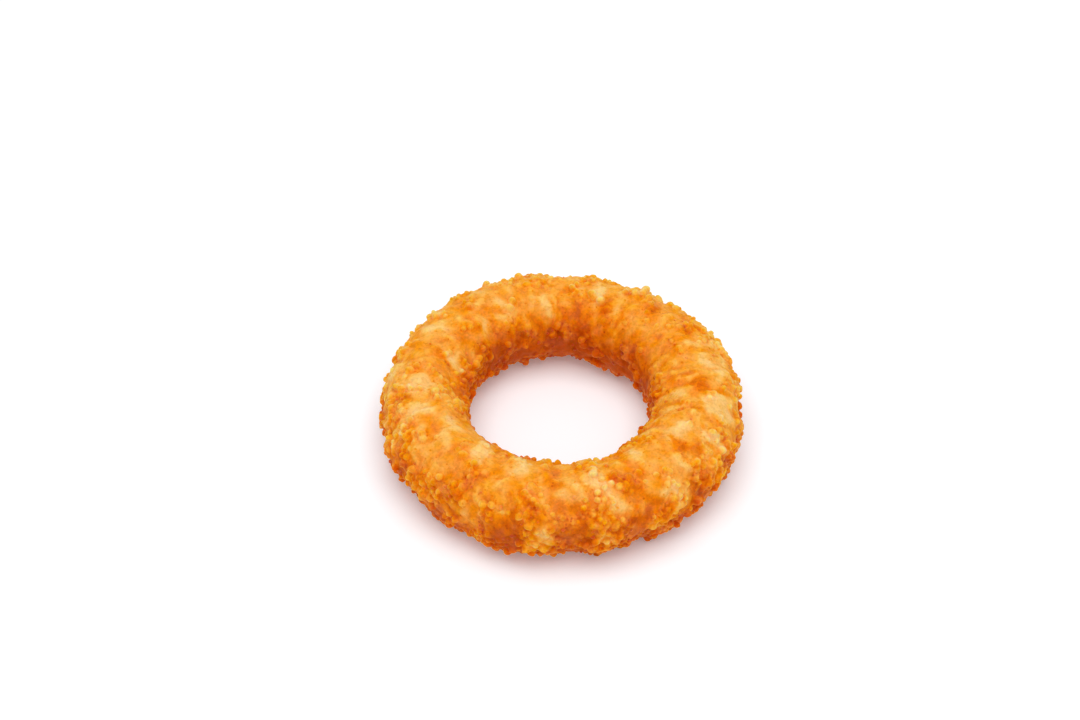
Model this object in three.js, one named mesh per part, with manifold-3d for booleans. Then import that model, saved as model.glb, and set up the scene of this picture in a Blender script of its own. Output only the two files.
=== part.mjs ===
// A deep-fried, crumb-coated onion ring lying flat: one solid of crust with its larger crumbs fused on.
// Millimetres, +Z up. The origin is on the surface the ring lies on, below the middle of its outline.
import * as THREE from "three";
import { ImprovedNoise } from "three/addons/math/ImprovedNoise.js";
import { mergeVertices } from "three/addons/utils/BufferGeometryUtils.js";
import Module from "manifold-3d";

// Driving dimensions.
const OUTER_DIAMETER = 66; // across the ring, over the crumbs
const HOLE_DIAMETER = 32.2; // across the hole, between the crumbs
const CRUMB_STAND = 0.45; // how far a crumb stands out of the crust, on average
const FLAT_DEPTH = 0.5; // how far the underside is pressed flat where the ring lies on it

// The crust's section is a circle swept round a ring.
const CENTRE_RADIUS = (OUTER_DIAMETER + HOLE_DIAMETER) / 4;
const CRUST_RADIUS = (OUTER_DIAMETER - HOLE_DIAMETER) / 4 - CRUMB_STAND;
const CENTRE_HEIGHT = CRUST_RADIUS - FLAT_DEPTH;

// Facets round the ring and round its section, about 1.2 mm each way at the ring's centre line.
const FACETS_ALONG = 130;
const FACETS_AROUND = 38;

// Unevenness of a hand-sized ring: slow changes round the ring, lumps of onion, and crags of crust.
const THICKNESS_WAVES = [
  { turns: 1, share: 0.035, from: 2.4 },
  { turns: 2, share: 0.016, from: 1.1 },
  { turns: 5, share: 0.012, from: 4.0 },
];
const CENTRE_WAVES = [
  { turns: 2, share: 0.008, from: 2.4 },
  { turns: 3, share: 0.006, from: 0.7 },
];
const LUMP = { size: 8.5, height: 0.8 };
const CRAG = { size: 3.1, height: 0.75 };

// The crumb coat: each facet's corner is a crumb that stands out, or the dip between crumbs.
const GRIT_HEIGHT = 0.34; // furthest that a corner stands out or dips in
const GRIT_SHIFT = 0.3; // furthest that a corner is moved sideways, as a share of a facet
const GRIT_SEED = 3;

// Crumbs: the largest ones, about 1.6 to 2.8 mm across.
const CRUMB_COUNT = 34;
const CRUMB_RADIUS = { least: 0.8, most: 1.4 };
const CRUMB_SPACING = 7; // least distance between two crumbs' middles
const CRUMB_SUNK = 0.4; // share of a crumb's radius that its middle lies under the crust
const CRUMB_UNEVENNESS = 0.2; // share by which a crumb's corners move in and out
const CRUMB_LOWEST = 2.2; // no crumb's middle is lower than this
const CRUMB_SEED = 7;

const perlin = new ImprovedNoise();

// A seeded random number from 0 to 1.
function randomFrom(seed) {
  let state = seed;
  return () => {
    state = (state + 0x6d2b79f5) | 0;
    let t = Math.imul(state ^ (state >>> 15), 1 | state);
    t = (t + Math.imul(t ^ (t >>> 7), 61 | t)) ^ t;
    return ((t ^ (t >>> 14)) >>> 0) / 4294967296;
  };
}

// The sum of some waves at an angle round the ring.
function waveSum(waves, angle) {
  return waves.reduce((sum, w) => sum + w.share * Math.sin(w.turns * angle + w.from), 0);
}

// Smooth noise whose bumps are about size across and height tall.
function bumps({ size, height }, x, y, z) {
  return height * perlin.noise(x / size + 11.3, y / size + 4.7, z / size + 8.1);
}

// A point of the crust, at an angle along the ring and an angle round the section, raised by some grit.
function crustPoint(along, around, grit = 0) {
  const ring = CENTRE_RADIUS * (1 + waveSum(CENTRE_WAVES, along));
  const even = CRUST_RADIUS * (1 + waveSum(THICKNESS_WAVES, along));
  const place = (radius) => {
    const reach = ring + radius * Math.cos(around);
    return new THREE.Vector3(
      reach * Math.cos(along),
      reach * Math.sin(along),
      CENTRE_HEIGHT + radius * Math.sin(around),
    );
  };
  const p = place(even);
  return place(even + bumps(LUMP, p.x, p.y, p.z) + bumps(CRAG, p.x, p.y, p.z) + grit);
}

// The uneven ring of crust: a torus whose corners are moved to the crust's points, each with its grit.
function crustGeometry() {
  const random = randomFrom(GRIT_SEED);
  const either = (most) => most * (2 * random() - 1);
  const even = new THREE.TorusGeometry(CENTRE_RADIUS, CRUST_RADIUS, FACETS_AROUND, FACETS_ALONG);
  const geometry = solidReady(even);
  const position = geometry.getAttribute("position");
  for (let i = 0; i < position.count; i++) {
    const [x, y, z] = [position.getX(i), position.getY(i), position.getZ(i)];
    const along = Math.atan2(y, x) + either((GRIT_SHIFT * 2 * Math.PI) / FACETS_ALONG);
    const around =
      Math.atan2(z, Math.hypot(x, y) - CENTRE_RADIUS) +
      either((GRIT_SHIFT * 2 * Math.PI) / FACETS_AROUND);
    position.setXYZ(i, ...crustPoint(along, around, either(GRIT_HEIGHT)));
  }
  return cutShorterWay(geometry);
}

// Cuts each four-sided facet along its shorter diagonal, so that the grit doesn't run one way.
function cutShorterWay(geometry) {
  const corners = geometry.getIndex();
  const place = (i) => new THREE.Vector3().fromBufferAttribute(geometry.getAttribute("position"), i);
  for (let i = 0; i < corners.count; i += 6) {
    const [a, b, d] = corners.array.slice(i, i + 3);
    const c = corners.array[i + 4];
    if (place(a).distanceTo(place(c)) < place(b).distanceTo(place(d))) {
      corners.array.set([a, b, c, a, c, d], i);
    }
  }
  return geometry;
}

// Places for crumbs: random points of the crust, spread evenly over its area and kept apart.
function crumbPlaces(random) {
  const places = [];
  const widest = CENTRE_RADIUS + CRUST_RADIUS;
  while (places.length < CRUMB_COUNT) {
    const along = 2 * Math.PI * random();
    const around = 2 * Math.PI * random();
    const reach = CENTRE_RADIUS + CRUST_RADIUS * Math.cos(around);
    const point = crustPoint(along, around);
    const kept = random() < reach / widest && point.z > CRUMB_LOWEST;
    if (kept && places.every((other) => other.point.distanceTo(point) > CRUMB_SPACING)) {
      const outward = new THREE.Vector3(
        Math.cos(around) * Math.cos(along),
        Math.cos(around) * Math.sin(along),
        Math.sin(around),
      );
      places.push({ point, outward });
    }
  }
  return places;
}

// One crumb: an icosahedron with uneven corners, turned at random and half sunk in the crust.
function crumbGeometry({ point, outward }, random) {
  const radius = THREE.MathUtils.lerp(CRUMB_RADIUS.least, CRUMB_RADIUS.most, random() ** 1.5);
  const geometry = solidReady(new THREE.IcosahedronGeometry(radius, 0));
  const position = geometry.getAttribute("position");
  for (let i = 0; i < position.count; i++) {
    const share = 1 + CRUMB_UNEVENNESS * (2 * random() - 1);
    position.setXYZ(i, position.getX(i) * share, position.getY(i) * share, position.getZ(i) * share);
  }
  geometry.rotateX(Math.PI * random()).rotateZ(2 * Math.PI * random());
  const middle = point.clone().addScaledVector(outward, -CRUMB_SUNK * radius);
  return geometry.translate(middle.x, middle.y, middle.z);
}

// A geometry with shared vertices merged, which manifold-3d needs.
function solidReady(geometry) {
  geometry.deleteAttribute("normal");
  geometry.deleteAttribute("uv");
  return mergeVertices(geometry, 1e-4);
}

const wasm = await Module();
wasm.setup();

function toSolid(geometry) {
  const merged = solidReady(geometry);
  return new wasm.Manifold(
    new wasm.Mesh({
      numProp: 3,
      vertProperties: new Float32Array(merged.attributes.position.array),
      triVerts: new Uint32Array(merged.index.array),
    }),
  );
}

function toGeometry(solid) {
  const { vertProperties, triVerts } = solid.getMesh();
  const geometry = new THREE.BufferGeometry();
  geometry.setAttribute("position", new THREE.BufferAttribute(vertProperties, 3));
  geometry.setIndex(new THREE.BufferAttribute(triVerts, 1));
  return geometry;
}

// The surface the ring lies on, as a slab that is cut away to leave the flat underside.
function tableGeometry() {
  const side = 2 * OUTER_DIAMETER;
  const depth = CRUST_RADIUS;
  return new THREE.BoxGeometry(side, side, depth).translate(0, 0, -depth / 2);
}

// The crust with its crumbs, flat below, with the middle of its outline on the Z axis.
function ringGeometry() {
  const random = randomFrom(CRUMB_SEED);
  let ring = toSolid(crustGeometry());
  for (const place of crumbPlaces(random)) ring = ring.add(toSolid(crumbGeometry(place, random)));
  const geometry = toGeometry(ring.subtract(toSolid(tableGeometry())));
  geometry.computeBoundingBox();
  const middle = geometry.boundingBox.getCenter(new THREE.Vector3());
  return geometry.translate(-middle.x, -middle.y, 0);
}

const friedCrumb = new THREE.MeshStandardMaterial({ color: "#e8943a", roughness: 0.6, metalness: 0 });
const ring = new THREE.Mesh(ringGeometry(), friedCrumb);
ring.name = "onion_ring";

const onionRing = new THREE.Group();
onionRing.add(ring);
export default onionRing;
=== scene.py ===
# %% [markdown]
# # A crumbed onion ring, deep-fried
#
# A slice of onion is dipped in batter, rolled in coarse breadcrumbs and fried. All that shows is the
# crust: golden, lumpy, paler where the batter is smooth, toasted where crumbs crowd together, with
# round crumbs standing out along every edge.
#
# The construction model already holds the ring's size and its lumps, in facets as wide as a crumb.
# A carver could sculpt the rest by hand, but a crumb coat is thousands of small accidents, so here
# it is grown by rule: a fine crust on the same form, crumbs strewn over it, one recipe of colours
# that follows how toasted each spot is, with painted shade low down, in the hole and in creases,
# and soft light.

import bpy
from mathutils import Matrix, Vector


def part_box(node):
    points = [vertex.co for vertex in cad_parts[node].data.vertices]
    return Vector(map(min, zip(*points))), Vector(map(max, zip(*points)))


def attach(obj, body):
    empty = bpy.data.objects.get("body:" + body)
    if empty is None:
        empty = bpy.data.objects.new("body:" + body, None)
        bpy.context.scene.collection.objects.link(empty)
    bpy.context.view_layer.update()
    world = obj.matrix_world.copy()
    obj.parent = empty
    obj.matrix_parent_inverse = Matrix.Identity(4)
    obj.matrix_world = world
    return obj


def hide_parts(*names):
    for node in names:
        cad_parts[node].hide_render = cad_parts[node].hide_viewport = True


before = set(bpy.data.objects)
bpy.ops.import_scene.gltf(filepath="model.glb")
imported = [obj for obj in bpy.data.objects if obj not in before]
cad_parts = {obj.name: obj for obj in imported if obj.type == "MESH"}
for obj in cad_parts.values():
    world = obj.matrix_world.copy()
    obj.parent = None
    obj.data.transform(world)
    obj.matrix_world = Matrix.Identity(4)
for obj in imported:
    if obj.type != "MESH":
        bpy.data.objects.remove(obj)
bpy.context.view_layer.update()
ring_low, ring_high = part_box("onion_ring")
ring_middle = (ring_low + ring_high) / 2
print("the ring measures", [round(1000 * side, 1) for side in ring_high - ring_low], "mm")

# %% [markdown]
# ## Units and chance
#
# Blender counts in metres, and a crumb in millimetres, so one small function turns one to the other.
# Every random draw comes from a numbered seed, so that the same ring is made each time. The noise
# module needs a seed too: without it, its vectors of noise start from the clock.

# %% Units and chance
import math

import bmesh
import bpy
import numpy as np
from mathutils import Vector, kdtree, noise


def mm(length):
    """A length in millimetres, in Blender's metres."""
    return length * 0.001


def chance(seed):
    """A source of random numbers that gives the same ones each time."""
    return np.random.default_rng(seed)


noise.seed_set(3)
print("a crumb one millimetre wide is", mm(1), "m across")

# %% [markdown]
# ## The camera
#
# The ring lies flat and is looked down on at 45 degrees, from far enough away that the near side is
# hardly larger than the far side, as through a short telephoto lens. The camera could be aimed at
# the ring and shifted, but a shift shears other views, so the whole camera is moved instead.

# %% Set the camera
PICTURE = Vector((1080, 720))  # the picture's width and height, in pixels
RING_AT = Vector((561, 407))  # where the ring's middle falls in it
PIXELS_PER_MM = 5.5
LENS = 100  # millimetres, on a sensor 36 mm wide
SENSOR = 36
ELEVATION = math.radians(45)

towards_camera = Vector((0, -math.cos(ELEVATION), math.sin(ELEVATION)))
picture_up = Vector((0, math.sin(ELEVATION), math.cos(ELEVATION)))
off_middle = (RING_AT - PICTURE / 2) / PIXELS_PER_MM
distance = mm(LENS / SENSOR * PICTURE.x / PIXELS_PER_MM)

camera = bpy.data.objects.new("camera", bpy.data.cameras.new("camera"))
bpy.context.scene.collection.objects.link(camera)
bpy.context.scene.camera = camera
camera.data.lens = LENS
camera.data.sensor_width = SENSOR
camera.data.clip_start = mm(20)
camera.rotation_euler = (math.pi / 2 - ELEVATION, 0, 0)
camera.location = (
    ring_middle
    - Vector((1, 0, 0)) * mm(off_middle.x)
    + picture_up * mm(off_middle.y)
    + towards_camera * distance
)
print("the camera stands", round(distance, 3), "m away")

# %% [markdown]
# ## Colours and nodes
#
# Colours are picked as the eye sees them, as sRGB hex values, while the renderer adds up light in
# linear numbers. One function turns one into the other. Another adds a node with its settings and
# links in one line, which keeps a long recipe readable. Inputs are given by name, or by number
# where a node has several of one name, as Math has.

# %% Colours and nodes
def linear(hex_colour, alpha=1.0):
    """An sRGB hex colour as the linear red, green, blue and alpha that shaders use."""
    channels = [int(hex_colour[i : i + 2], 16) / 255 for i in (1, 3, 5)]
    return (*(c / 12.92 if c <= 0.04045 else ((c + 0.055) / 1.055) ** 2.4 for c in channels), alpha)


def add_node(tree, kind, settings=None, inputs=None):
    """Adds a node, sets its properties, and sets each input or links it to another node's output."""
    node = tree.nodes.new(kind)
    for name, value in (settings or {}).items():
        setattr(node, name, value)
    for name, value in (inputs or {}).items():
        if isinstance(value, bpy.types.NodeSocket):
            tree.links.new(value, node.inputs[name])
        else:
            node.inputs[name].default_value = value
    return node


def new_material(name):
    """An empty node material, with its tree and its output node."""
    material = bpy.data.materials.new(name)
    material.use_nodes = True
    material.node_tree.nodes.clear()
    output = add_node(material.node_tree, "ShaderNodeOutputMaterial")
    return material, material.node_tree, output


print("golden crust is", [round(c, 3) for c in linear("#F6961E")])

# %% [markdown]
# ## Runs of batter
#
# Batter runs down round the ring's section before it sets, so its marks are longer that way than
# along the ring. A picture with stretched marks could be wrapped round the ring, but it would need
# a seam. Instead, noise is read on the crust unrolled onto a cylinder: a place's height there is
# its way round the section, counted short, so the noise comes out long that way. A little straying
# keeps the runs from looking ruled.

# %% Unroll the crust
CENTRE_RADIUS = mm(24.6)  # from the middle of the hole to the middle of the crust's section
CENTRE_HEIGHT = mm(7.6)  # of the middle of the section over the table
RUN_SHARE = 0.6  # a length round the section counts for so much, so marks are longer that way
STRAY = mm(1.6)  # how far a run strays to either side
STRAY_SIZE = mm(4.3)


def on_section(along, around):
    """The point of the ring at an angle along it and an angle round its section, in degrees."""
    turn, rise = math.radians(along), math.radians(around)
    section_radius = ring_middle.z
    reach = CENTRE_RADIUS + section_radius * math.cos(rise)
    height = CENTRE_HEIGHT + section_radius * math.sin(rise)
    return Vector((reach * math.cos(turn), reach * math.sin(turn), height))


def unrolled(place):
    """The place for noise and blots that are longer round the section than along the ring."""
    strayed = place + STRAY * noise.noise_vector(place / STRAY_SIZE)
    flat = strayed.xy.normalized() * CENTRE_RADIUS
    around = math.atan2(strayed.xy.length - CENTRE_RADIUS, strayed.z - CENTRE_HEIGHT)
    return Vector((flat.x, flat.y, RUN_SHARE * around * CENTRE_HEIGHT))


crown = unrolled(on_section(270, 90))
print("the crown on the near side is unrolled to", [round(1000 * c, 1) for c in crown], "mm")

# %% [markdown]
# ## How toasted the crust is
#
# Fried crumb isn't one colour. Patches a fingertip wide are paler or browner, smaller blots lie in
# them, and crumbs crowd where the coat is brown. One field of smooth noise, read by position, says
# how toasted each spot is, and painted shade is added to it: browner low down and on the inner wall
# of the hole, and later in the creases round crumbs. The crust, the crumbs' number and every colour
# follow it, so they agree.
#
# Noise alone looks the same all over, so the shown side also has some blots placed one by one: smooth
# pale batter on the crown of the ring, and browner clusters between. Crowds of crumbs are listed
# too, most of them along the outer and inner edges, where crumbs stand out one by one.

# %% Blots and crowds, listed
# Each blot is an angle along the ring, an angle round its section, a radius in millimetres, and a
# change of toast. Along the ring 0 is the right and 270 the near side; round it 90 is the crown.
# A crowd of crumbs has the same, without a change.
PALE_BLOTS = [
    (102, 112, 2.4, -0.2), (119, 112, 2.1, -0.35), (74, 84, 1.5, -0.3), (56, 78, 1.5, -0.25),
    (38, 82, 2.0, -0.1), (44, 123, 2.2, -0.1), (22, 74, 2.4, -0.25), (12, 75, 1.5, -0.4),
    (160, 122, 2.0, -0.45), (132, 119, 1.8, -0.35), (180, 90, 2.1, -0.45), (194, 71, 2.1, -0.5),
    (208, 107, 1.7, -0.55), (190, 112, 1.5, -0.3), (230, 106, 1.8, -0.6), (251, 104, 2.5, -0.45),
    (272, 74, 2.0, -0.35), (284, 86, 2.0, -0.5), (288, 60, 1.5, -0.35), (304, 108, 1.8, -0.4),
    (328, 96, 1.8, -0.45), (348, 57, 2.4, -0.55), (352, 114, 2.0, -0.4), (310, 30, 2.0, -0.4),
    (5, 52, 1.4, -0.4), (264, 6, 1.8, -0.5), (284, -2, 1.5, -0.4), (250, 26, 1.5, -0.25),
    (290, 34, 1.5, -0.25), (301, -6, 1.7, -0.35), (199, 36, 1.5, -0.3), (334, 48, 1.4, -0.25),
    (141, 84, 2.4, -0.2), (122, 74, 2.2, -0.2), (152, 62, 2.0, -0.2),
]
TOASTED_BLOTS = [
    (232, 32, 2.4, 0.35), (257, 39, 2.8, 0.3), (239, 72, 2.0, 0.25), (266, 98, 2.0, 0.35),
    (294, 76, 1.8, 0.25), (322, 75, 2.0, 0.3), (298, 50, 2.0, 0.2), (32, 112, 1.3, 0.25),
    (356, 86, 1.7, 0.3), (66, 110, 1.7, 0.25), (80, 134, 1.5, 0.15), (334, 12, 1.8, 0.3),
    (318, 28, 1.8, 0.2), (208, 20, 2.0, 0.25), (208, 74, 1.4, 0.2), (267, 62, 1.7, 0.2),
    (278, 34, 1.8, 0.2), (146, 117, 1.4, 0.25), (272, 28, 3.5, 0.25), (293, 27, 3.0, 0.25),
    (249, 25, 3.0, 0.2), (100, 84, 4.0, 0.05), (75, 84, 4.0, 0.06), (52, 86, 4.0, 0.1),
    (36, 88, 3.5, 0.08), (126, 84, 4.0, 0.08), (142, 96, 3.5, 0.06),
]
CROWDS = [
    (137, 158, 2.0), (150, 190, 2.2), (194, 146, 2.0), (248, 115, 2.2), (281, 132, 2.2),
    (314, 133, 2.0), (336, 154, 1.8), (8, 144, 1.8), (259, 54, 1.6), (262, 69, 1.6), (300, 61, 1.8),
    (306, 7, 2.4), (324, 15, 2.6), (336, 34, 2.4), (202, 44, 2.4), (220, 21, 2.4), (230, 27, 2.0),
    (246, -6, 2.0), (259, -8, 2.0), (283, 2, 1.8), (268, -10, 2.2), (98, 62, 2.4), (79, 55, 2.4),
    (59, 58, 2.4), (184, 64, 2.2), (192, 40, 2.2), (176, 109, 1.4), (29, 73, 1.8), (354, 38, 2.2),
    (88, 154, 1.6), (286, 38, 1.4), (46, 38, 1.8), (35, 31, 2.0), (24, 23, 2.2), (13, 14, 2.2),
    (2, 3, 2.4), (351, -8, 2.4), (341, -16, 2.2), (10, 170, 1.8), (357, 176, 1.8), (112, 43, 1.6),
    (128, 38, 1.6), (147, 29, 1.8), (161, 19, 2.0), (173, 7, 2.2), (184, -4, 2.4), (195, -14, 2.2),
    (212, -28, 2.0), (230, -36, 2.0), (249, -42, 2.0), (268, -44, 1.8), (285, -42, 2.0),
    (302, -38, 2.2), (318, -31, 2.2), (331, -24, 2.2), (172, 160, 2.2), (182, 170, 2.2),
    (163, 172, 2.4), (186, 150, 2.0), (152, 165, 2.2), (140, 175, 2.0),
]


def tree_of(spots):
    """A tree that finds the spots near an unrolled place."""
    tree = kdtree.KDTree(len(spots))
    for number, (along, around, *_) in enumerate(spots):
        tree.insert(unrolled(on_section(along, around)), number)
    tree.balance()
    return tree


blots = PALE_BLOTS + TOASTED_BLOTS
WIDEST_BLOT = mm(6)
blot_tree, crowd_tree = tree_of(blots), tree_of(CROWDS)
print(len(blots), "blots and", len(CROWDS), "crowds placed by hand")

# %% What makes the crust paler or browner, and the painted shade
# A share is how much the toast changes where that cause is at its strongest.
MIDDLE_TOAST = 0.485
LEAST_TOAST = 0.12
PATCH = {"size": mm(6.5), "share": 0.14}
BLOT = {"size": mm(2.7), "share": 0.17}
MOTTLE = {"size": mm(1.3), "share": 0.15}
LOW = {"reach": mm(12.5), "share": 0.82}  # painted shade: browner below this height, where the side turns under and lies in shade
HOLE_SHADE = {"reach": mm(21), "share": 1.25}  # painted shade: browner nearer than this to the middle of the hole, on the inner wall
PLACED = {"share": 0.88, "reach": 0.85, "sharpness": 3}  # of the change and radius in the lists
RAGGED = mm(1.4)  # how far the edge of a placed blot wanders
RAGGED_SIZE = mm(1.9)
PUFF = {"size": mm(2.9), "paler": 0.05, "paler_by_chance": 0.2}  # a puff is stretched thin, so paler
PUFF_BORDER = {"wander": mm(1.1), "wiggles": 1.4, "width": 0.6}
CELL_JUMP = 7.3  # takes neighbouring cells to places of the noise that have nothing in common


def blots_at(place):
    """The change of toast that the listed blots make at a place."""
    wandered = unrolled(place) + RAGGED * noise.noise_vector(place / RAGGED_SIZE)
    total = 0.0
    for _, number, away in blot_tree.find_range(wandered, WIDEST_BLOT):
        _, _, radius, change = blots[number]
        faded = math.exp(-((away / mm(PLACED["reach"] * radius)) ** PLACED["sharpness"]))
        total += PLACED["share"] * change * faded
    return total


def chance_of(cell):
    """A throw of chance from 0 to 1, the same all over a cell of Voronoi noise."""
    return 0.5 + 0.5 * noise.cell(CELL_JUMP * cell)


def puff_at(place):
    """How far inside a puff a place is, from 0 at its border to 1, and that puff's own chance."""
    wiggle = noise.noise_vector(place / PUFF["size"] * PUFF_BORDER["wiggles"])
    wandered = unrolled(place) + PUFF_BORDER["wander"] * wiggle
    (nearest, next_nearest, *_), (cell, *_) = noise.voronoi(wandered / PUFF["size"])
    inside = min(1.0, (next_nearest - nearest) / PUFF_BORDER["width"])
    return inside * inside * (3 - 2 * inside), chance_of(cell)


print("the hand-placed blots change a pale spot by", round(blots_at(on_section(180, 90)), 2))

# %% How toasted a place is, with painted shade
def toast_and_shade_at(place):
    """How toasted the crust is at a place, from 0, pale batter, to 1, brown crumb, with painted shade added.
    """
    toast_and_shade = MIDDLE_TOAST
    toast_and_shade += PATCH["share"] * noise.noise(place / PATCH["size"] + Vector((3.1, 7.7, 1.9)))
    toast_and_shade += BLOT["share"] * noise.noise(unrolled(place) / BLOT["size"] + Vector((9.2, 0.4, 5.5)))
    toast_and_shade += MOTTLE["share"] * noise.noise(unrolled(place) / MOTTLE["size"] + Vector((1.7, 4.4, 8.3)))
    # Painted shade: browner low down and on the inner wall of the hole, where shade falls.
    toast_and_shade += LOW["share"] * max(0.0, 1 - place.z / LOW["reach"])
    toast_and_shade += HOLE_SHADE["share"] * max(0.0, 1 - place.xy.length / HOLE_SHADE["reach"])
    inside, thrown = puff_at(place)
    toast_and_shade -= inside * (PUFF["paler"] + PUFF["paler_by_chance"] * thrown)
    return min(1.0, max(LEAST_TOAST, toast_and_shade + blots_at(place)))


samples = [toast_and_shade_at(on_section(*angles)) for angles in chance(1).uniform(0, 360, (2000, 2))]
print("toast: middle", round(float(np.median(samples)), 2), "spread", round(float(np.std(samples)), 2))

# %% Where crumbs crowd
CROWD = {"size": mm(3.5), "fewer": 0.15, "low": 0.3}  # crumbs stick together, more so low down
PLACED_CROWD = {"share": 0.75, "reach": 0.9}  # reach: of the radius in the list


def crowd_at(place):
    """How much crumbs crowd at a place: below 0 they are few, and at 1 they touch."""
    crowd = noise.noise(place / CROWD["size"] + Vector((5.3, 2.2, 7.1))) - CROWD["fewer"]
    crowd += CROWD["low"] * max(0.0, 1 - place.z / LOW["reach"])
    for _, number, away in crowd_tree.find_range(unrolled(place), WIDEST_BLOT):
        reach = mm(PLACED_CROWD["reach"] * CROWDS[number][2])
        crowd += PLACED_CROWD["share"] * math.exp(-((away / reach) ** 2))
    return crowd


print("in the middle of a crowd it is", round(crowd_at(on_section(*CROWDS[0][:2])), 2))

# %% [markdown]
# ## The batter
#
# Under the crumbs is a skin of batter. It starts as a copy of the ring's own solid. Smoothing takes
# off the facets, and a voxel remesh lays an even net over it, fine enough to carry small swellings.
# Sculpting by hand would give the same; a rule gives it everywhere, also where the ring is seen
# from behind.

# %% Copy the ring's form
def mesh_of(built, name):
    """A bmesh's shape as a new mesh, and the bmesh is freed."""
    mesh = bpy.data.meshes.new(name)
    built.to_mesh(mesh)
    built.free()
    return mesh


def smooth(built, factor):
    """Moves each point of a bmesh towards the middle of its neighbours."""
    bmesh.ops.smooth_vert(
        built, verts=built.verts, factor=factor, use_axis_x=True, use_axis_y=True, use_axis_z=True
    )


form = bmesh.new()
form.from_mesh(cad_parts["onion_ring"].data)
bmesh.ops.remove_doubles(form, verts=form.verts, dist=mm(0.005))
for _ in range(5):
    smooth(form, 0.5)
print("the form has", len(form.faces), "facets")


# %% Lay an even net over it
def with_modifier(mesh, kind, settings):
    """The mesh that a modifier makes of a mesh, which it uses up."""
    bearer = bpy.data.objects.new("bearer", mesh)
    bpy.context.scene.collection.objects.link(bearer)
    modifier = bearer.modifiers.new(kind, kind)
    for name, value in settings.items():
        setattr(modifier, name, value)
    graph = bpy.context.evaluated_depsgraph_get()
    made = bpy.data.meshes.new_from_object(bearer.evaluated_get(graph))
    bpy.data.objects.remove(bearer)
    bpy.data.meshes.remove(mesh)
    return made


def lay_net(mesh, width):
    """An even net over a mesh, with meshes so wide. What overlaps is fused into one skin."""
    return with_modifier(mesh, "REMESH", {"mode": "VOXEL", "voxel_size": width})


even_form = lay_net(mesh_of(form, "rough_form"), mm(0.4))
print("the net has", len(even_form.polygons), "faces")

# %% [markdown]
# ### Swellings
#
# Batter isn't even. It has lumps, and runs between them. It puffs up in blisters with a crease
# round each, swells most where it is palest, and crumbs that drowned in it show as low domes. A
# puff or a dome could be a mesh of its own, but cells of Voronoi noise are a packing too: each cell
# has a middle, and a swelling round it. Lumps, runs and puffs are read on the unrolled crust, so
# they make ribs across the ring. A cell holds a dome only by a throw of chance that favours toasted
# spots.

# %% The height of the swellings
LUMP = {"size": mm(2.4), "height": mm(0.45)}
RUN = {"size": mm(1.4), "height": mm(0.2)}
PUFF_HEIGHT = {"most": mm(0.25), "sure": 0.3, "by_chance": 0.7}
SWELL = {"paler_than": 0.4, "slope": mm(0.5)}  # how much it rises for each 1 of toast below that
# At a toast of 0.5 so great a share of the cells is bare, and it falls by the favour for each 1 more.
DOMES = {"size": mm(1.5), "height": mm(0.2), "bare": 0.5, "favour": 0.9}
DOME_REACH = 0.62  # a dome's radius, as a share of its cell


def dome_at(place, toast_and_shade):
    """The height of a dome at a place, where the crust is so toasted."""
    (nearest, *_), (cell, *_) = noise.voronoi(place / DOMES["size"])
    if chance_of(cell) < DOMES["bare"] + DOMES["favour"] * (0.5 - toast_and_shade):
        return 0.0
    return DOMES["height"] * math.sqrt(max(0.0, 1 - (nearest / DOME_REACH) ** 2))


def relief_at(place, toast_and_shade):
    """How far the batter stands out at a place."""
    lump = LUMP["height"] * noise.noise(unrolled(place) / LUMP["size"])
    run = RUN["height"] * noise.noise(unrolled(place) / RUN["size"])
    inside, thrown = puff_at(place)
    puff = PUFF_HEIGHT["most"] * inside * (PUFF_HEIGHT["sure"] + PUFF_HEIGHT["by_chance"] * thrown)
    swell = SWELL["slope"] * max(0.0, SWELL["paler_than"] - toast_and_shade)
    return lump + run + puff + swell + dome_at(place, toast_and_shade)


print("the crown stands out by", round(1000 * relief_at(on_section(270, 90), 0.5), 2), "mm")

# %% Raise the batter
SUNK = mm(0.22)  # the batter starts this far in, so that the crumbs end at the ring's true size
FLAT_BELOW = mm(0.9)  # the relief dies away under this height, where the ring lies on the table

batter = bmesh.new()
batter.from_mesh(even_form)
batter.normal_update()
batter_toast_and_shade = np.array([toast_and_shade_at(vertex.co) for vertex in batter.verts])
moves = []
for vertex, toast_and_shade in zip(batter.verts, batter_toast_and_shade):
    shown = max(0.0, min(1.0, vertex.co.z / FLAT_BELOW))
    moves.append(vertex.normal * (relief_at(vertex.co, toast_and_shade) - SUNK))
    moves[-1].z *= shown
for vertex, move in zip(batter.verts, moves):
    vertex.co += move
    vertex.co.z = max(vertex.co.z, 0.0)
batter.normal_update()
batter_points = np.array([vertex.co for vertex in batter.verts])
batter_normals = np.array([vertex.normal for vertex in batter.verts])
batter_crowd = np.array([crowd_at(vertex.co) for vertex in batter.verts])
print("the relief runs to", round(1000 * max(move.length for move in moves), 2), "mm")

# %% [markdown]
# ## Crumbs
#
# Crumbs are rounded beads, each a little uneven. There are thousands, so each is a small ball of 54
# faces, smooth-shaded. The ball is a cube, cut twice and blown round. A particle system could strew
# them, but real mesh travels further, so the crumbs of a kind are joined into one mesh: a few balls
# are made, and each crumb copies one, turned and stretched.

# %% Shape a few crumbs
CRUMB_SHAPES = 16
CRUMB_UNEVEN = 0.3  # how far a crumb's corners stand in or out, as a share of its radius
CRUMB_BUMPS = 1.1  # the higher, the more bumps a crumb has


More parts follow.
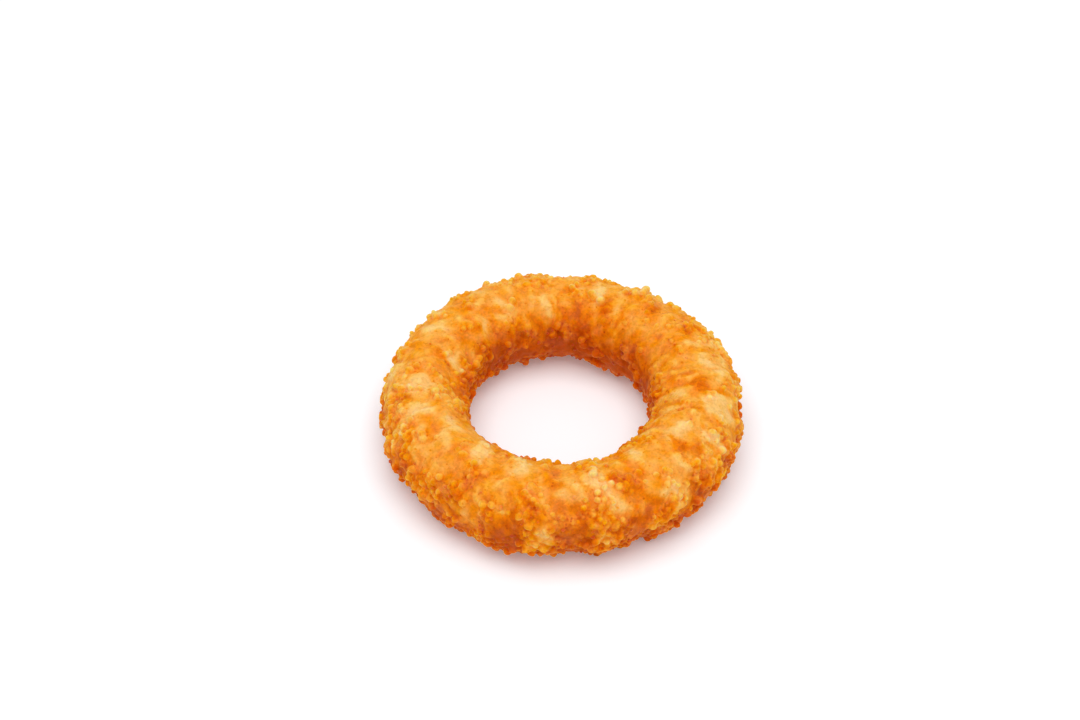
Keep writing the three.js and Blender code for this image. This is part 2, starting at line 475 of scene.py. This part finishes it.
def crumb_shape(number):
    """The corners and faces of one uneven crumb, about 1 in radius."""
    ball = bmesh.new()
    bmesh.ops.create_cube(ball, size=1)
    bmesh.ops.subdivide_edges(ball, edges=ball.edges, cuts=2, use_grid_fill=True)
    for corner in ball.verts:
        corner.co.normalize()
        corner.co *= 1 + CRUMB_UNEVEN * noise.noise(CRUMB_BUMPS * corner.co + Vector((number, 0, 0)))
    corners = np.array([corner.co for corner in ball.verts])
    faces = np.array([[corner.index for corner in face.verts] for face in ball.faces])
    ball.free()
    return corners, faces


crumb_shapes = [crumb_shape(number) for number in range(CRUMB_SHAPES)]
print(len(crumb_shapes), "crumbs of", len(crumb_shapes[0][1]), "faces")

# %% [markdown]
# ### Strewing
#
# The batter's net is even, so picking its points at random strews evenly over its area. A point is
# kept by a throw of chance that favours crowds and toasted spots, and only if no crumb of its kind
# is too near, which a grid of small boxes tells quickly.

# %% Pick places for crumbs
LOWEST_CRUMB = mm(0.25)  # no crumb sits lower, as the table is there


def pick_places(count, spacing, favour, random):
    """The numbers of the batter's points where crumbs sit, at most so many and so far apart."""
    taken = {}
    places = []
    nearby = [(x, y, z) for x in (-1, 0, 1) for y in (-1, 0, 1) for z in (-1, 0, 1)]
    for i in random.permutation(len(batter_points)):
        point = batter_points[i]
        box = tuple(np.floor(point / spacing).astype(int))
        if random.random() > favour(batter_toast_and_shade[i], batter_crowd[i]) or point[2] < LOWEST_CRUMB:
            continue
        around = (taken.get((box[0] + x, box[1] + y, box[2] + z), ()) for x, y, z in nearby)
        if all(np.dot(point - other, point - other) > spacing**2 for group in around for other in group):
            taken.setdefault(box, []).append(point)
            places.append(i)
        if len(places) == count:
            break
    return np.array(places)


# %% Turn, stretch and join crumbs
STRETCH = (0.88, 1.12)  # the least and most that a crumb is stretched, each way


def random_turns(count, random):
    """Rotation matrices in all directions alike, from random quaternions."""
    quaternions = random.normal(size=(4, count))
    w, x, y, z = quaternions / np.linalg.norm(quaternions, axis=0)
    return np.array(
        [
            [1 - 2 * (y * y + z * z), 2 * (x * y - z * w), 2 * (x * z + y * w)],
            [2 * (x * y + z * w), 1 - 2 * (x * x + z * z), 2 * (y * z - x * w)],
            [2 * (x * z - y * w), 2 * (y * z + x * w), 1 - 2 * (x * x + y * y)],
        ]
    ).transpose(2, 0, 1)


def strew(name, count, size, spacing, sunk, favour, seed):
    """One kind of crumb strewn over the batter, as a mesh, with each crumb's middle and radius."""
    random = chance(seed)
    places = pick_places(count, spacing, favour, random)
    count = len(places)
    radii = (size[0] + (size[1] - size[0]) * random.random(count) ** 2) / 2  # most of them are small
    outward = batter_normals[places]
    middles = batter_points[places] - outward * (radii * random.uniform(*sunk, count))[:, None]
    stretch = random.uniform(*STRETCH, (count, 1, 3))
    turns = random_turns(count, random)
    corners = np.array([crumb_shapes[s][0] for s in random.integers(CRUMB_SHAPES, size=count)])
    corners = (corners * stretch) @ turns * radii[:, None, None]
    corners += middles[:, None, :]
    corners = np.clip(corners, np.array(ring_low), np.array(ring_high))
    faces = crumb_shapes[0][1][None] + (np.arange(count) * corners.shape[1])[:, None, None]
    mesh = bpy.data.meshes.new(name)
    mesh.from_pydata(corners.reshape(-1, 3), [], faces.reshape(-1, 4))
    tints = random.uniform(-1, 1, count)
    of_each = {"toast_and_shade": batter_toast_and_shade[places], "tint": tints, "crumb": np.ones(count)}
    for attribute, values in of_each.items():
        layer = mesh.attributes.new(attribute, "FLOAT", "POINT")
        layer.data.foreach_set("value", np.repeat(values, corners.shape[1]))
    print(name, count, "crumbs,", 2 * len(mesh.polygons), "triangles")
    return mesh, middles, radii


# %% [markdown]
# ### The crust
#
# Most crumbs are fried into the batter and have become one skin with it, and light wanders from one
# to the other. So they aren't left as balls that cut through the batter: a second voxel remesh
# fuses them, which also rounds the creases where they meet. Where balls close off a hollow, the
# remesh lines it too, so only the largest part of the skin is kept.

# %% Keep one part
def keep_largest_part(built):
    """Deletes every part of a bmesh but the largest, such as the lining of a closed hollow."""
    left = set(built.verts)
    parts = []
    while left:
        part = [left.pop()]
        for vertex in part:
            for edge in vertex.link_edges:
                other = edge.other_vert(vertex)
                if other in left:
                    left.remove(other)
                    part.append(other)
        parts.append(part)
    parts.sort(key=len)
    stray = [vertex for part in parts[:-1] for vertex in part]
    bmesh.ops.delete(built, geom=stray, context="VERTS")
    return len(stray)


# %% Strew the crumbs that are fried in
coarse, coarse_middles, coarse_radii = strew(
    "coarse_crumbs",
    count=3000,
    size=(mm(0.6), mm(1.15)),
    spacing=mm(0.65),
    sunk=(0.2, 0.7),
    favour=lambda toast_and_shade, crowd: min(1.0, max(0.008, 1.1 * crowd + 0.8 * (toast_and_shade - 0.6))),
    seed=22,
)
large, large_middles, large_radii = strew(
    "large_crumbs",
    count=12,
    size=(mm(1.3), mm(2.0)),
    spacing=mm(8.0),
    sunk=(0.4, 0.8),
    favour=lambda toast_and_shade, crowd: 0.3 * crowd,
    seed=23,
)
standing, standing_middles, standing_radii = strew(
    "standing_crumbs",
    count=2200,
    size=(mm(0.9), mm(1.75)),
    spacing=mm(0.9),
    sunk=(-0.6, 0.2),
    favour=lambda toast_and_shade, crowd: min(1.0, max(0.001, 0.8 * crowd - 0.1)),
    seed=27,
)

# %% Fuse crumbs and batter
NET = mm(0.2)
MOST_TRIANGLES = 198_000  # the fused skin is thinned to about this many triangles; a finer piece would be thinned when it is kept

for crumbs in (coarse, large, standing):
    batter.from_mesh(crumbs)
fused = lay_net(mesh_of(batter, "batter"), NET)
share = MOST_TRIANGLES / (2 * len(fused.polygons))
print("the net has", len(fused.polygons), "faces; of its triangles", round(share, 2), "are kept")
skin = bmesh.new()
skin.from_mesh(with_modifier(fused, "DECIMATE", {"ratio": share, "use_collapse_triangulate": True}))
smooth(skin, 0.25)
print(keep_largest_part(skin), "stray points dropped; the skin has", len(skin.faces), "faces")

# %% Note how toasted each point is, with painted shade in the creases, and which crumb it is on
CRUMB_ENDS = {"at": 1.4, "over": 0.35}  # in crumb radii: where a crumb's colour has faded, and over what
CREVICE_SHADE = {"at": 1.2, "width": 0.2, "toast_and_shade": 0.15}  # painted shade: the crease round a crumb is coloured browner

baked_middles = np.concatenate([coarse_middles, large_middles, standing_middles])
baked_radii = np.concatenate([coarse_radii, large_radii, standing_radii])
baked_tints = chance(24).uniform(-1, 1, len(baked_middles))
crumb_tree = kdtree.KDTree(len(baked_middles))
for number, middle in enumerate(baked_middles):
    crumb_tree.insert(middle, number)
crumb_tree.balance()
layers = {name: skin.verts.layers.float.new(name) for name in ("toast_and_shade", "tint", "crumb")}
for vertex in skin.verts:
    vertex.co = Vector(np.clip(vertex.co, ring_low, ring_high))
    _, number, away = crumb_tree.find(vertex.co)
    radii_away = away / baked_radii[number]
    on_crumb = min(1.0, max(0.0, (CRUMB_ENDS["at"] - radii_away) / CRUMB_ENDS["over"]))
    # Painted shade: browner in the crease round each crumb, where shade falls.
    crevice_shade = max(0.0, 1 - abs(radii_away - CREVICE_SHADE["at"]) / CREVICE_SHADE["width"])
    vertex[layers["toast_and_shade"]] = toast_and_shade_at(vertex.co) + CREVICE_SHADE["toast_and_shade"] * crevice_shade
    vertex[layers["tint"]] = baked_tints[number] * on_crumb
    vertex[layers["crumb"]] = on_crumb
print(round(sum(vertex[layers["crumb"]] for vertex in skin.verts) / len(skin.verts), 2), "of it is crumb")


# %% Keep the crust as a piece
def add_piece(name, mesh):
    """A mesh as a smooth piece of the ring, which rides with it."""
    mesh.shade_smooth()
    piece = bpy.data.objects.new(name, mesh)
    bpy.context.scene.collection.objects.link(piece)
    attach(piece, "root")
    return piece


crust = add_piece("crust", mesh_of(skin, "crust"))
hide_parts("onion_ring")
print("the crust measures", [round(1000 * side, 1) for side in crust.dimensions], "mm")

# %% [markdown]
# ### Loose crumbs
#
# The finest crumbs only cling to the coat. Fusing them too would melt them away, as they are hardly
# wider than the net, so they stay small balls of their own, half in the crust. They are joined into
# one mesh, since thousands of objects would slow Blender down.

# %% Strew loose crumbs
fine, _, _ = strew(
    "fine_crumbs",
    count=1800,
    size=(mm(0.4), mm(0.8)),
    spacing=mm(0.45),
    sunk=(-0.1, 0.4),
    favour=lambda toast_and_shade, crowd: max(0.015, 0.9 * crowd + 0.5 * (toast_and_shade - 0.6)),
    seed=21,
)
fine_crumbs = add_piece("fine_crumbs", fine)

# %% [markdown]
# ## Fried crumb
#
# The finish is breadcrumb and batter, fried in oil. Light goes a little way into it and comes back
# warmer, and a thin film of oil gives a faint gloss. Its colour runs from pale batter over gold to
# brown. A picture of fried crumb could be wrapped round the ring, but it would smear on the
# crumbs. So the shader scatters light under the surface, its index of refraction is that of cooking
# oil, and a ramp of colours is read by how toasted the spot is, with painted shade and a painted rim
# light added.
#
# Finer marks are added to that toast. Soft speckles and dapples are noise. Flakes are cells of
# Voronoi noise whose borders are made ragged, each with its own throw of toast, and scorched specks
# sit in the middles of somewhat larger cells. A crumb has a tint of its own, and its thin rim is
# painted paler where it is seen edge-on: a painted rim light, for the light that comes through it.

# %% Colours of toast
TOAST_COLOURS = [
    (0.00, "#FFCE8A"),
    (0.20, "#FFBF62"),
    (0.38, "#FDAA3D"),
    (0.54, "#F6961E"),
    (0.70, "#EB7F08"),
    (0.85, "#DD6B05"),
    (1.00, "#CB5602"),
]
SHEEN_COLOUR = "#FFB060"  # of the dust of crumb that catches light at a grazing angle
OIL_IOR = 1.47


def toast_colour(tree, toast_and_shade):
    """The colour of a spot that looks so toasted, painted shade and rim light included, read from a ramp."""
    ramp = add_node(tree, "ShaderNodeValToRGB", inputs={"Fac": toast_and_shade})
    stops = ramp.color_ramp.elements
    for stop, (at, colour) in zip(stops, (TOAST_COLOURS[0], TOAST_COLOURS[-1])):
        stop.position = at
        stop.color = linear(colour)
    for at, colour in TOAST_COLOURS[1:-1]:
        stops.new(at).color = linear(colour)
    return ramp.outputs["Color"]


print(len(TOAST_COLOURS), "colours, from", TOAST_COLOURS[0][1], "to", TOAST_COLOURS[-1][1])

# %% Add a share of a pattern
def add_share(tree, total, value, share, zero):
    """The total with a share of a value added, where the value adds nothing at its zero."""
    inputs = {0: value, 1: share, 2: -share * zero}
    part = add_node(tree, "ShaderNodeMath", {"operation": "MULTIPLY_ADD"}, inputs).outputs[0]
    return add_node(tree, "ShaderNodeMath", {"operation": "ADD"}, {0: total, 1: part}).outputs[0]


# %% Patterns of the crust
# Each pattern's size, and how many finer ones are laid over it.
PATTERNS = {
    "speckle": (mm(1.2), 3),
    "dapple": (mm(0.5), 3),
    "soaked": (mm(2.2), 2),
    "gloss": (mm(2.0), 2),
    "grit": (mm(0.32), 3),
}
PATTERN_ROUGHNESS = 0.55
FLAKE = {"size": mm(1.1), "smoothness": 0.12}
FLAKE_BORDER = {"wander": mm(0.8), "size": mm(1.2)}
SCORCH_CELL = mm(1.4)
SHADE_SHARE = 0.16  # how much a flake's own chance shades it, beside the dapples
# What is read from a pattern, and the two ends of its range with what each end becomes.
RANGE_ENDS = ("From Min", "From Max", "To Min", "To Max")
RANGES = {
    "scorched": ("away", 0.08, 0.2, 1.0, 0.0),
    "brightness": ("shade", 0.3, 0.7, 1.06, 0.84),
    "saturation": ("soaked", 0.35, 0.65, 0.975, 1.025),
    "roughness": ("gloss", 0.0, 1.0, 0.36, 0.62),
}


def add_patterns(tree, place):
    """The outputs that give each pattern, each flake's own chance, and what is read from them."""
    found = {}
    for name, (size, detail) in PATTERNS.items():
        marks = {"Vector": place, "Scale": 1 / size, "Detail": detail, "Roughness": PATTERN_ROUGHNESS}
        found[name] = add_node(tree, "ShaderNodeTexNoise", inputs=marks).outputs["Fac"]
    wander = add_node(tree, "ShaderNodeTexNoise", inputs={"Vector": place, "Scale": 1 / FLAKE_BORDER["size"]})
    ragged = add_node(
        tree,
        "ShaderNodeVectorMath",
        {"operation": "MULTIPLY_ADD"},
        {0: wander.outputs["Color"], 1: [FLAKE_BORDER["wander"]] * 3, 2: place},
    ).outputs["Vector"]
    flakes = add_node(
        tree,
        "ShaderNodeTexVoronoi",
        {"feature": "SMOOTH_F1"},
        {"Vector": ragged, "Scale": 1 / FLAKE["size"], "Smoothness": FLAKE["smoothness"]},
    )
    own_chance = add_node(tree, "ShaderNodeSeparateColor", inputs={"Color": flakes.outputs["Color"]})
    found["flake"] = own_chance.outputs["Red"]
    cells = add_node(tree, "ShaderNodeTexVoronoi", inputs={"Vector": ragged, "Scale": 1 / SCORCH_CELL})
    found["away"] = cells.outputs["Distance"]
    found["shade"] = add_share(tree, found["dapple"], found["flake"], SHADE_SHARE, 0.5)
    for name, (pattern, *ends) in RANGES.items():
        inputs = {"Value": found[pattern], **dict(zip(RANGE_ENDS, ends))}
        found[name] = add_node(tree, "ShaderNodeMapRange", inputs=inputs).outputs["Result"]
    return found


print("the finest pattern is", round(1000 * min(size for size, _ in PATTERNS.values()), 2), "mm wide")

# %% How toasted each spot looks, with painted shade and a painted rim light
RIM_LIGHT_BLEND = 0.2  # how wide a crumb's painted rim light looks
# Painted rim light: a crumb seen edge-on is drawn this much paler.
RIM_LIGHT_SHARE = -0.4
SPECKLE_SHARE = 0.12
DAPPLE_SHARE = 0.08
FLAKE_SHARE = 0.11
SCORCH_SHARE = 0.25
TINT_SHARE = 0.06


def looks_toasted_with_painted_light(tree, patterns, browner):
    """How toasted a spot looks, with its finer marks, its painted shade and a painted rim light, where crumbs
    are so much browner than batter.
    """
    toast_and_shade, tint, crumb = (
        add_node(tree, "ShaderNodeAttribute", {"attribute_name": name}).outputs["Fac"]
        for name in ("toast_and_shade", "tint", "crumb")
    )
    # Painted rim light: a crumb is drawn paler where it is seen edge-on.
    facing = add_node(tree, "ShaderNodeLayerWeight", inputs={"Blend": RIM_LIGHT_BLEND}).outputs["Facing"]
    painted_rim_light = add_node(tree, "ShaderNodeMath", {"operation": "MULTIPLY"}, {0: facing, 1: crumb}).outputs[0]
    for value, share, zero in (
        (patterns["speckle"], SPECKLE_SHARE, 0.5),
        (patterns["dapple"], DAPPLE_SHARE, 0.5),
        (patterns["flake"], FLAKE_SHARE, 0.5),
        (patterns["scorched"], SCORCH_SHARE, 0.0),
        (tint, TINT_SHARE, 0.0),
        (crumb, browner, 0.0),
        (painted_rim_light, RIM_LIGHT_SHARE, 0.0),
    ):
        toast_and_shade = add_share(tree, toast_and_shade, value, share, zero)
    return toast_and_shade


print("a scorched speck is browner by", SCORCH_SHARE)

# %% Mix the finish
# The grit is drawn as bump, as it is finer than the net: it breaks up the highlights.
GRIT = {"strength": 0.55, "height": mm(0.14)}
SCATTERED = 0.9  # the share of light that goes under the surface


def fried_crumb(name, radius, depth, specular, sheen, browner, hue):
    """Fried crumb, into which light goes so deep, with so much gloss and sheen."""
    material, tree, output = new_material(name)
    place = add_node(tree, "ShaderNodeTexCoord").outputs["Object"]
    patterns = add_patterns(tree, place)
    coloured = add_node(
        tree,
        "ShaderNodeHueSaturation",
        inputs={
            "Color": toast_colour(tree, looks_toasted_with_painted_light(tree, patterns, browner)),
            "Hue": hue,
            "Saturation": patterns["saturation"],
            "Value": patterns["brightness"],
        },
    )
    grit = {"Strength": GRIT["strength"], "Distance": GRIT["height"], "Height": patterns["grit"]}
    shader = add_node(
        tree,
        "ShaderNodeBsdfPrincipled",
        inputs={
            "Base Color": coloured.outputs["Color"],
            "Roughness": patterns["roughness"],
            "IOR": OIL_IOR,
            "Normal": add_node(tree, "ShaderNodeBump", inputs=grit).outputs["Normal"],
            "Specular IOR Level": specular,
            "Subsurface Weight": SCATTERED,
            "Subsurface Radius": radius,
            "Subsurface Scale": depth,
            "Sheen Weight": sheen,
            "Sheen Roughness": 0.3,
            "Sheen Tint": linear(SHEEN_COLOUR),
        },
    )
    tree.links.new(shader.outputs["BSDF"], output.inputs["Surface"])
    return material


# %% Dress the ring
# Batter soaks light up and glows. A loose crumb is too small for that: it is brighter and glossier,
# and a little browner, which is what makes it stand out as a grain.
crust_finish = fried_crumb(
    "fried batter crust",
    radius=(1.0, 0.6, 0.2),
    depth=mm(4.0),
    specular=0.06,
    sheen=0.1,
    browner=0.0,
    hue=0.5,
)
crumb_finish = fried_crumb(
    "fried breadcrumb",
    radius=(1.0, 0.8, 0.6),
    depth=mm(0.15),
    specular=0.3,
    sheen=0.3,
    browner=0.1,
    hue=0.494,
)
crust.data.materials.append(crust_finish)
fine_crumbs.data.materials.append(crumb_finish)
print("finishes:", [material.name for material in bpy.data.materials])

# %% [markdown]
# ## The table and the light
#
# The ring lies on a plain white table under soft light. A large lamp hangs almost straight above,
# a little on the viewer's side, so the tops glow and the steep sides go a deeper orange. More
# lamps could fill the shadows, but a bright room all round does it without a second edge to any
# shadow. The table is matt white laminate, which shows the shadow and no reflection, and glows a
# little, so that it renders almost white.

# %% Lay the table
TABLE_RADIUS = 2.0

table_form = bmesh.new()
bmesh.ops.create_circle(table_form, cap_ends=True, segments=96, radius=TABLE_RADIUS)
table = bpy.data.objects.new("table", mesh_of(table_form, "table"))
bpy.context.scene.collection.objects.link(table)
laminate, tree, output = new_material("matt white laminate")
laminate_shader = add_node(
    tree,
    "ShaderNodeBsdfPrincipled",
    inputs={
        "Base Color": linear("#F2F5F8"),
        "Roughness": 0.6,
        "IOR": 1.45,
        "Emission Color": linear("#FFFFFF"),
        "Emission Strength": 0.15,
    },
)
tree.links.new(laminate_shader.outputs["BSDF"], output.inputs["Surface"])
table.data.materials.append(laminate)
print("the table is", table.dimensions.x, "m across")

# %% Hang the lamp
LAMP_TURN = math.radians(180)  # 0 is behind the ring, 180 the viewer's side
LAMP_RISE = math.radians(82)
LAMP_AWAY = 0.9
LAMP_WIDTH = 0.9
LAMP_WATTS = 5.8

lamp = bpy.data.objects.new("key lamp", bpy.data.lights.new("key lamp", "AREA"))
bpy.context.scene.collection.objects.link(lamp)
lamp.data.size = LAMP_WIDTH
lamp.data.energy = LAMP_WATTS
towards_lamp = Vector(
    (
        math.sin(LAMP_TURN) * math.cos(LAMP_RISE),
        math.cos(LAMP_TURN) * math.cos(LAMP_RISE),
        math.sin(LAMP_RISE),
    )
)
lamp.location = ring_middle + towards_lamp * LAMP_AWAY
lamp.rotation_euler = towards_lamp.to_track_quat("Z", "Y").to_euler()
print("the lamp gives", LAMP_WATTS, "W from", LAMP_AWAY, "m away")

# %% Light the room
ROOM_LIGHT = 0.53

room = bpy.data.worlds.new("bright room")
bpy.context.scene.world = room
room.use_nodes = True
background = room.node_tree.nodes["Background"]
background.inputs["Color"].default_value = linear("#FFFFFF")
background.inputs["Strength"].default_value = ROOM_LIGHT
bpy.context.scene.view_settings.view_transform = "Standard"
print("the room's light is", ROOM_LIGHT)
